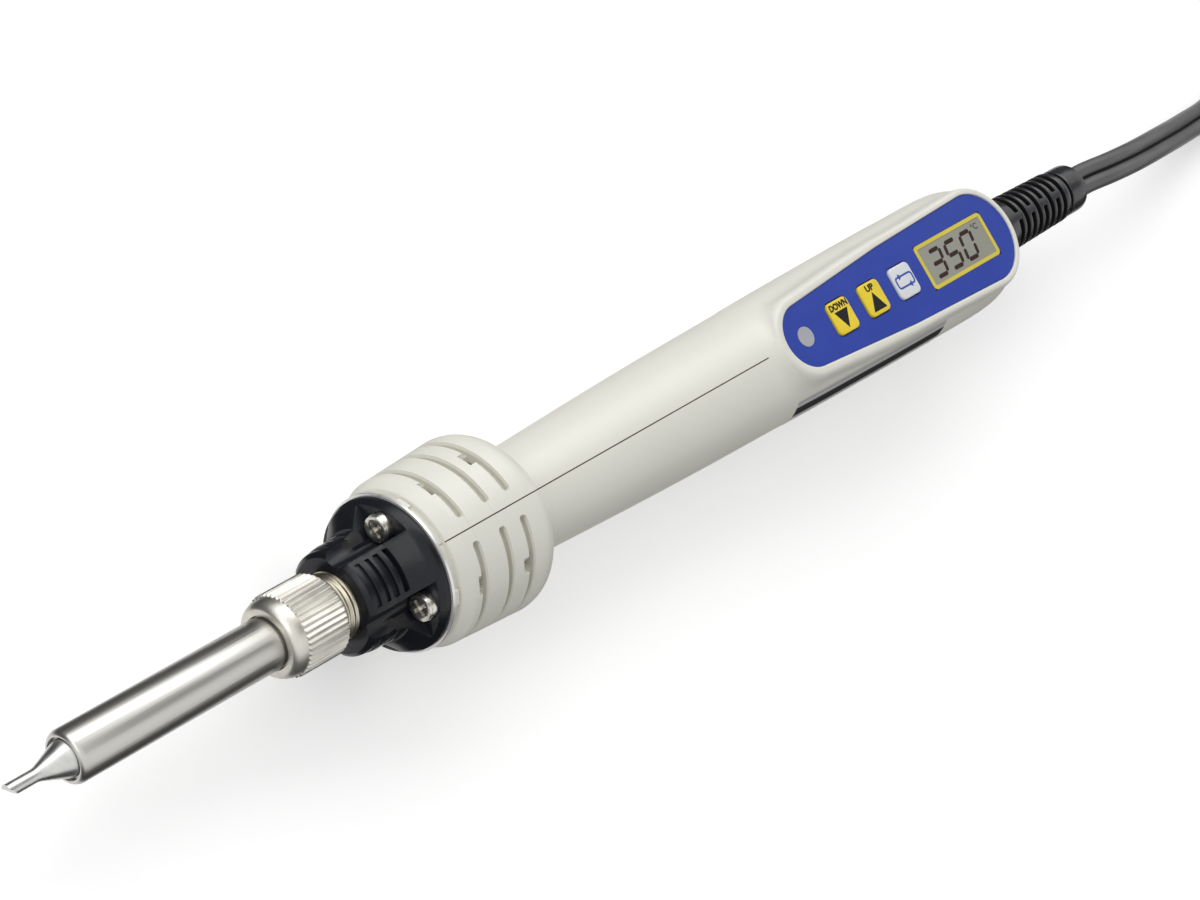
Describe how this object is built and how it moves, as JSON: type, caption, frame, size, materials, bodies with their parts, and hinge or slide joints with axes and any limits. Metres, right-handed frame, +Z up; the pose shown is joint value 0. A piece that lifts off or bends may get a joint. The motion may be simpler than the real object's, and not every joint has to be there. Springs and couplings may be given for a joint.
{
  "type": "soldering iron",
  "caption": "Hand-held digital soldering iron with in-handle display and keys, knurled barrel nut, slotted strain relief and flat mains cord with plug",
  "frame": {"origin": "midpoint of the iron from working point to relief end, on its centre plane, on the surface it lies on", "axes": "X along the iron from tip (-X) to cord (+X), Z up through the key panel, Y across"},
  "size_m": [0.5266, 0.0486, 0.03],
  "materials": {
    "tip_plating": "bright tinned iron plating",
    "barrel_steel": "satin stainless tube",
    "nut_nickel": "nickel plate, straight knurl",
    "ferrule_brass": "nickel-washed brass thread",
    "ceramic": "fired ceramic and glass-fibre sleeving",
    "lead_wire": "heat-proof insulation",
    "nose_black": "heat-resistant moulding, satin to glossy",
    "screw_steel": "plated steel, cross slot",
    "plate_light": "thin bright plate",
    "handle_white": "off-white moulding",
    "film_blue": "printed film",
    "lcd_clear": "clear window with a printed frame",
    "lens_grey": "smoked lens",
    "key_yellow": "moulded rubber key",
    "key_white": "moulded rubber key",
    "black_plastic": "moulded black plastic",
    "switch_metal": "metal-covered switch bodies",
    "lcd_grey": "segment display glass",
    "rubber_black": "flexible black rubber",
    "led_red": "tinted lamp",
    "board_green": "solder-masked laminate",
    "film_amber": "dipped film capacitor",
    "label_grey": "foil label with a dark band",
    "core_brown": "core insulation",
    "cord_grey": "dark grey flat twin sheath",
    "tie_black": "flat tie",
    "plug_black": "moulded plug",
    "blade_brass": "plug blades"
  },
  "bodies": {
    "iron": {"ferrule": "ferrule_brass", "ceramic_heater": "ceramic", "heater_bush": "ceramic", "heater_leads": "lead_wire", "lead_sleeve": "ceramic", "nose_flange": "nose_black", "flange_screws": "screw_steel", "heat_plate": "plate_light", "handle_left": "handle_white", "handle_right": "handle_white", "handle_screws": "screw_steel", "panel_overlay": "film_blue", "lcd_window": "lcd_clear", "led_lens": "lens_grey", "tact_switches": "switch_metal", "lcd_module": "lcd_grey", "lcd_strips": "rubber_black", "status_led": "led_red", "control_board": "board_green", "microcontroller": "black_plastic", "triac": "black_plastic", "capacitor": "film_amber", "fuse": "ceramic", "label_left": "label_grey", "label_right": "label_grey", "cord_cores": "core_brown", "cord_inner": "cord_grey", "cord_clamp": "black_plastic", "clamp_screws": "screw_steel", "strain_relief": "rubber_black", "power_cord": "cord_grey", "cord_hank": "cord_grey", "cord_tie": "tie_black", "cord_tail": "cord_grey", "plug_body": "plug_black", "plug_blades": "blade_brass"},
    "barrel_body": {"barrel": "barrel_steel"},
    "nut_body": {"cap_nut": "nut_nickel"},
    "tip_body": {"solder_tip": "tip_plating"},
    "key_down_body": {"key_down": "key_yellow", "plunger_down": "black_plastic"},
    "key_up_body": {"key_up": "key_yellow", "plunger_up": "black_plastic"},
    "key_mode_body": {"key_mode": "key_white", "plunger_mode": "black_plastic"}
  },
  "joints": [
    {"name": "barrel_slide", "type": "slide", "parent": "iron", "child": "barrel_body", "axis": [-1, 0, 0], "range_m": [0, 0.00381]},
    {"name": "nut_turn", "type": "hinge", "parent": "barrel_body", "child": "nut_body", "pos_m": [-0.0764, 0, 0.015], "axis": [-1, 0, 0], "range_deg": [0, 1372]},
    {"name": "tip_turn", "type": "hinge", "parent": "barrel_body", "child": "tip_body", "pos_m": [-0.1023, 0, 0.015], "axis": [-1, 0, 0], "continuous": true},
    {"name": "key_down_press", "type": "slide", "parent": "iron", "child": "key_down_body", "axis": [0, 0, -1], "range_m": [0, 0.0003], "stiffness_N_per_m": 400, "springref_m": -0.0003},
    {"name": "key_up_press", "type": "slide", "parent": "iron", "child": "key_up_body", "axis": [0, 0, -1], "range_m": [0, 0.0003], "stiffness_N_per_m": 400, "springref_m": -0.0003},
    {"name": "key_mode_press", "type": "slide", "parent": "iron", "child": "key_mode_body", "axis": [0, 0, -1], "range_m": [0, 0.0003], "stiffness_N_per_m": 400, "springref_m": -0.0003}
  ],
  "couplings": [
    {"joint": "nut_turn", "follows": "barrel_slide", "rad_per_m": 6283.2}
  ]
}
